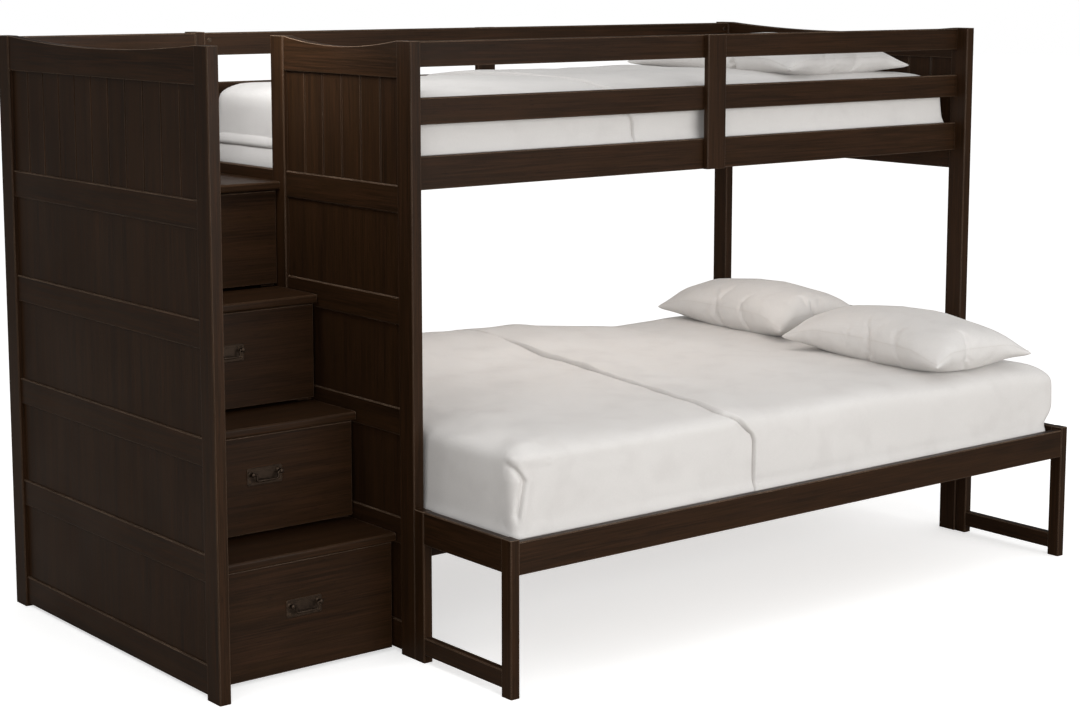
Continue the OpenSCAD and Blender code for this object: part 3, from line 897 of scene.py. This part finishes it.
# a row of sewn thread along a line
def stitchTree():
    tree, given = newTree("runningStitches", {
        "Spacing": "Float", "Stitch Length": "Float", "Thread Radius": "Float",
        "Material": "Material"})
    line = addNode(tree, "GeometryNodeMeshToCurve", {"Mesh": given["Geometry"]})
    spots = addNode(tree, "GeometryNodeCurveToPoints", {
        "Curve": line.outputs[0], "Length": given["Spacing"]}, mode="LENGTH").outputs
    ball = addNode(tree, "GeometryNodeMeshUVSphere", {"Segments": 6, "Rings": 5, "Radius": 1.0})
    half = calculated(tree, "MULTIPLY", given["Stitch Length"], 0.5)
    size = addNode(tree, "ShaderNodeCombineXYZ", {
        0: given["Thread Radius"], 1: given["Thread Radius"], 2: half})
    thread = addNode(tree, "GeometryNodeTransform", {
        "Geometry": ball.outputs[0], "Scale": size.outputs[0]})
    sewn = addNode(tree, "GeometryNodeInstanceOnPoints", {
        "Points": spots["Points"], "Instance": thread.outputs[0],
        "Rotation": spots["Rotation"]})
    closeTree(tree, sewn.outputs[0], given["Material"])
    return tree


# slotted screw heads, each turned to its own angle
def screwTree():
    tree, given = newTree("slottedScrews", {
        "Head Radius": "Float", "Head Height": "Float", "Slot Width": "Float",
        "Facing": "Vector", "Seed": "Int", "Material": "Material"})
    radius, height = given["Head Radius"], given["Head Height"]
    rim = calculated(tree, "MULTIPLY", radius, 0.78)
    head = addNode(tree, "GeometryNodeMeshCone", {
        "Vertices": 20, "Radius Top": rim, "Radius Bottom": radius, "Depth": height})
    wide = calculated(tree, "MULTIPLY", radius, 2.4)
    size = addNode(tree, "ShaderNodeCombineXYZ", {0: wide, 1: given["Slot Width"], 2: height})
    bar = addNode(tree, "GeometryNodeMeshCube", {"Size": size.outputs[0]})
    lift = addNode(tree, "ShaderNodeCombineXYZ", {2: height})
    raised = addNode(tree, "GeometryNodeTransform", {
        "Geometry": bar.outputs[0], "Translation": lift.outputs[0]})
    slotted = addNode(tree, "GeometryNodeMeshBoolean", {
        "Mesh 1": head.outputs[0], "Mesh 2": raised.outputs[0]},
        operation="DIFFERENCE", solver="EXACT")
    facing = addNode(tree, "FunctionNodeEulerToRotation", {"Euler": given["Facing"]})
    angle = addNode(tree, "FunctionNodeRandomValue", {
        "Min": 0.0, "Max": math.pi, "Seed": given["Seed"]})
    spin = addNode(tree, "FunctionNodeAxisAngleToRotation", {"Angle": angle.outputs["Value"]})
    turned = addNode(tree, "FunctionNodeRotateRotation", {
        "Rotation": facing.outputs[0], "Rotate By": spin.outputs[0]}, rotation_space="LOCAL")
    spots = addNode(tree, "GeometryNodeMeshToPoints", {"Mesh": given["Geometry"]})
    driven = addNode(tree, "GeometryNodeInstanceOnPoints", {
        "Points": spots.outputs[0], "Instance": slotted.outputs["Mesh"],
        "Rotation": turned.outputs[0]})
    closeTree(tree, driven.outputs[0], given["Material"])
    return tree


# end-grain fingers up the corners of a drawer box
def fingerTree():
    tree, given = newTree("fingerJoints", {
        "Count": "Int", "Pitch": "Float", "Finger Size": "Vector", "Material": "Material"})
    step = addNode(tree, "ShaderNodeCombineXYZ", {2: given["Pitch"]})
    column = addNode(tree, "GeometryNodeMeshLine", {
        "Count": given["Count"], "Offset": step.outputs[0]})
    block = addNode(tree, "GeometryNodeMeshCube", {"Size": given["Finger Size"]})
    fingers = addNode(tree, "GeometryNodeInstanceOnPoints", {
        "Points": column.outputs[0], "Instance": block.outputs[0]})
    corners = addNode(tree, "GeometryNodeMeshToPoints", {"Mesh": given["Geometry"]})
    placed = addNode(tree, "GeometryNodeInstanceOnPoints", {
        "Points": corners.outputs[0], "Instance": fingers.outputs[0]})
    closeTree(tree, placed.outputs[0], given["Material"])
    return tree


stitches, screws, fingers = stitchTree(), screwTree(), fingerTree()

for name, line in seamLines.items():
    newPiece(name + "Stitches", runTree(closedLine(line), stitches, seam), seamThread, "root")
print("stitches sewn")

# drawer pulls: a stepped plate with two turned bosses, two screws and a drop bail
pull = {
    "halfHeight": 0.022, "cornerRadius": 0.005, "leastRadius": 0.0015,
    "bevel": 0.0016, "side": 0.0015, "proud": 0.0025,      # the plate's face and its edge
    "frame": 0.0060, "slope": 0.0008, "step": 0.0007,      # the sunk field inside the frame
    # radius and distance in front of the drawer, metres
    "boss": ((0.0072, 0.0012), (0.0072, 0.0030), (0.0060, 0.0038), (0.0040, 0.0048),
             (0.0036, 0.0092), (0.0052, 0.0108), (0.0062, 0.0132), (0.0064, 0.0150),
             (0.0062, 0.0170), (0.0050, 0.0188), (0.0028, 0.0198), (0.0004, 0.0201)),
    "bossAcross": 0.040, "bossUp": 0.008, "bossSides": 24, "pivotOut": 0.015,
    "pin": 0.038, "arm": 0.030, "drop": 0.017, "bend": 0.0048, "bendSteps": 6,
    "rod": (0.0026, 0.0034), "rodSides": 16, "rodStep": 0.004, "swellHalf": 0.022,
    "screwAt": (0.0425, -0.0125), "screw": (0.0030, 0.0011, 0.0008),
}


def bridged(loops):
    bm = bmesh.new()
    rings = [[bm.verts.new(p) for p in loop] for loop in loops]
    count = len(rings[0])
    for a, b in zip(rings, rings[1:]):
        for i in range(count):
            bm.faces.new((a[i], a[(i + 1) % count], b[(i + 1) % count], b[i]))
    bm.faces.new(rings[0])
    bm.faces.new(rings[-1])
    bmesh.ops.recalc_face_normals(bm, faces=bm.faces[:])
    return meshFrom(bm, "bridged")


def roundedOutline(halfX, halfZ, radius, y, middle):
    outline = []
    for k in range(4):
        cx = (halfX - radius) * (1 if k in (0, 3) else -1)
        cz = (halfZ - radius) * (1 if k < 2 else -1)
        for n in range(6):
            angle = math.radians(90 * k + 18 * n)
            outline.append((middle.x + cx + radius * math.cos(angle), y,
                            middle.z + cz + radius * math.sin(angle)))
    return outline


def pullPlate(number):
    low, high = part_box(f"drawer_{number}_pull_plate")
    front = high.y
    middle = (low + high) / 2
    halfX, halfZ = (high.x - low.x) / 2, pull["halfHeight"]
    proud, sunk = pull["proud"], pull["proud"] - pull["step"]
    levels = [(0, 0), (0, pull["side"]), (pull["bevel"], proud), (pull["frame"], proud),
              (pull["frame"] + pull["slope"], sunk)]
    parts = [bridged([
        roundedOutline(halfX - inset, halfZ - inset,
                       max(pull["cornerRadius"] - inset, pull["leastRadius"]), front - out, middle)
        for inset, out in levels])]
    part = 2 * math.pi / pull["bossSides"]
    for side in (-1, 1):
        centre = middle + Vector((side * pull["bossAcross"], 0, pull["bossUp"]))
        parts.append(bridged([[(centre.x + r * math.cos(a * part), front - out,
                                centre.z + r * math.sin(a * part))
                               for a in range(pull["bossSides"])] for r, out in pull["boss"]]))
    screwX, screwZ = pull["screwAt"]
    radius, height, slotWidth = pull["screw"]
    spots = [(middle.x + side * screwX, front - sunk, middle.z + screwZ) for side in (-1, 1)]
    parts.append(runTree(loosePoints(spots), screws, {
        "Head Radius": radius, "Head Height": height, "Slot Width": slotWidth,
        "Facing": (math.pi / 2, 0, 0), "Seed": number, "Material": agedBronze}))
    return joinedMesh(*parts)


# the bail's centre line, X and Z from the middle between its pins
def bailPath():
    pin, arm, drop = pull["pin"], pull["arm"], pull["drop"]
    corners = [Vector(p) for p in ((-pin, 0), (-arm, 0), (-arm, -drop), (arm, -drop), (arm, 0),
                                   (pin, 0))]
    path = [corners[0]]
    for a, b, c in zip(corners, corners[1:], corners[2:]):
        bend = min(pull["bend"], (a - b).length * (0.9 if a == corners[0] else 0.48))
        start, end = b + (a - b).normalized() * bend, b + (c - b).normalized() * bend
        for n in range(pull["bendSteps"] + 1):
            t = n / pull["bendSteps"]
            path.append(start * (1 - t) ** 2 + b * 2 * t * (1 - t) + end * t * t)
    path.append(corners[-1])
    dense = []
    for a, b in zip(path, path[1:]):
        pieces = max(1, round((b - a).length / pull["rodStep"]))
        dense += [a.lerp(b, n / pieces) for n in range(pieces)]
    return dense + [path[-1]]


def pullBail(number):
    low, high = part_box(f"drawer_{number}_pull_plate")
    middle = (low + high) / 2
    y = high.y - pull["pivotOut"]
    thin, thick = pull["rod"]
    part = 2 * math.pi / pull["rodSides"]
    path = bailPath()
    loops = []
    for n, p in enumerate(path):
        ahead = (path[min(n + 1, len(path) - 1)] - path[max(n - 1, 0)]).normalized()
        out = Vector((-ahead.y, ahead.x))
        # the grip is thickest in its middle
        grip = max(0, 1 - (p.x / pull["swellHalf"]) ** 2) * (p.y < -pull["drop"] * 0.8)
        rod = thin + (thick - thin) * grip
        loops.append([(middle.x + p.x + out.x * rod * math.cos(a * part),
                       y + rod * math.sin(a * part),
                       middle.z + pull["bossUp"] + p.y + out.y * rod * math.cos(a * part))
                      for a in range(pull["rodSides"])])
    return bridged(loops)


finger = {"tall": 0.013, "proud": 0.0006, "deep": 0.012, "topMargin": 0.01}
for number in (1, 2, 3, 4):
    body = f"drawer_{number}"
    for label, mesh, rides in (("Plate", pullPlate(number), body),
                               ("Bail", pullBail(number), f"bail_{number}")):
        for face in mesh.polygons:
            face.use_smooth = len(face.vertices) == 4 and label == "Bail"
        piece = newPiece(f"drawer{number}Pull{label}", mesh, agedBronze, rides)
        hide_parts(f"drawer_{number}_pull_{label.lower()}")
    low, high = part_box(f"drawer_{number}_box")
    tall, halfDeep = finger["tall"], finger["deep"] / 2
    corners = [(x, y, low.z + tall) for x in (low.x, high.x)
               for y in (low.y + halfDeep, high.y - halfDeep)]
    joints = runTree(loosePoints(corners), fingers, {
        "Count": int((high.z - low.z - finger["topMargin"]) // (2 * tall)), "Pitch": 2 * tall,
        "Finger Size": (finger["proud"], finger["deep"], tall), "Material": birchEnd})
    newPiece(f"drawer{number}FingerJoints", joints, birchEnd, body)
print("pulls and joints made")

# barrel nuts: slotted heads let into the inner faces of the rails
nut = {"radius": 0.007, "height": 0.0015, "slot": 0.0016, "fromEnd": 0.015, "down": 0.020,
       "seeds": (11, 12)}
low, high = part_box("upper_front_side_rail")
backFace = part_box("upper_back_side_rails")[0].y
ends = (low.x + nut["fromEnd"], high.x - nut["fromEnd"])
tops = [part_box(rail)[1].z - nut["down"]
        for rail in ("guard_front_top_rail", "guard_front_middle_rail", "upper_front_side_rail")]
nutMeshes = []
for y, lean, seed in zip((high.y, backFace), (-math.pi / 2, math.pi / 2), nut["seeds"]):
    nutMeshes.append(runTree(loosePoints([(x, y, z) for x in ends for z in tops]), screws, {
        "Head Radius": nut["radius"], "Head Height": nut["height"], "Slot Width": nut["slot"],
        "Facing": (lean, 0, 0), "Seed": seed, "Material": agedBronze}))
nuts = newPiece("railBarrelNuts", joinedMesh(*nutMeshes), agedBronze, "root")
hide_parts("barrel_nuts")
print("barrel nuts set")
